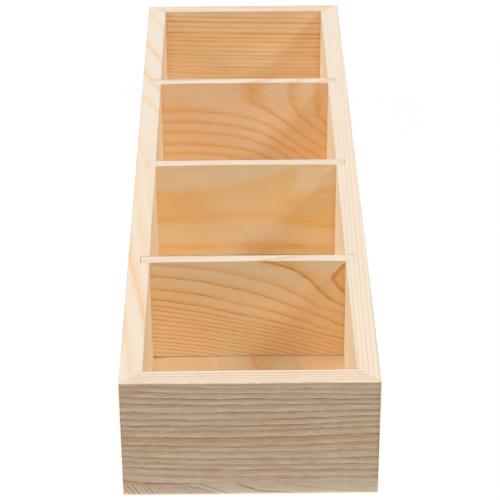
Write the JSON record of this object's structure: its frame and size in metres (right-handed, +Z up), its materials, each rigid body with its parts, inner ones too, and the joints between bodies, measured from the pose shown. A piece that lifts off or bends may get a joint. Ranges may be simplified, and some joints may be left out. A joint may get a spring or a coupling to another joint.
{
  "type": "tea bag holder box",
  "caption": "Open-topped long pine box with mitred walls on a flat base board, parted into equal compartments for tea bags by thin dividers that lift out of grooves.",
  "frame": {"origin": "centre of the underside of the base board", "axes": "+Z up out of the open top, +Y along the length towards the back wall, +X to the right seen from the front"},
  "size_m": [0.1, 0.35, 0.0535],
  "materials": {
    "pine_brushed": "unfinished, brushed along the grain on the outer face",
    "pine_planed": "unfinished, planed",
    "pine_base": "unfinished, planed",
    "pine_divider": "unfinished, planed",
    "brad_wire": "bright wire"
  },
  "bodies": {
    "case": {"front_wall": "pine_brushed", "back_wall": "pine_brushed", "left_wall": "pine_planed", "right_wall": "pine_planed", "base_board": "pine_base", "mitre_brad_front_left_lower": "brad_wire", "mitre_brad_front_left_upper": "brad_wire", "mitre_brad_back_left_lower": "brad_wire", "mitre_brad_back_left_upper": "brad_wire", "mitre_brad_front_right_lower": "brad_wire", "mitre_brad_front_right_upper": "brad_wire", "mitre_brad_back_right_lower": "brad_wire", "mitre_brad_back_right_upper": "brad_wire", "base_brad_left_1": "brad_wire", "base_brad_left_2": "brad_wire", "base_brad_left_3": "brad_wire", "base_brad_left_4": "brad_wire", "base_brad_right_1": "brad_wire", "base_brad_right_2": "brad_wire", "base_brad_right_3": "brad_wire", "base_brad_right_4": "brad_wire", "base_brad_front": "brad_wire", "base_brad_back": "brad_wire"},
    "divider_1": {"divider_1": "pine_divider"},
    "divider_2": {"divider_2": "pine_divider"},
    "divider_3": {"divider_3": "pine_divider"}
  },
  "joints": [
    {"name": "divider_1_lift", "type": "slide", "parent": "case", "child": "divider_1", "axis": [0, 0, 1], "range_m": [0, 0.05]},
    {"name": "divider_2_lift", "type": "slide", "parent": "case", "child": "divider_2", "axis": [0, 0, 1], "range_m": [0, 0.05]},
    {"name": "divider_3_lift", "type": "slide", "parent": "case", "child": "divider_3", "axis": [0, 0, 1], "range_m": [0, 0.05]}
  ]
}
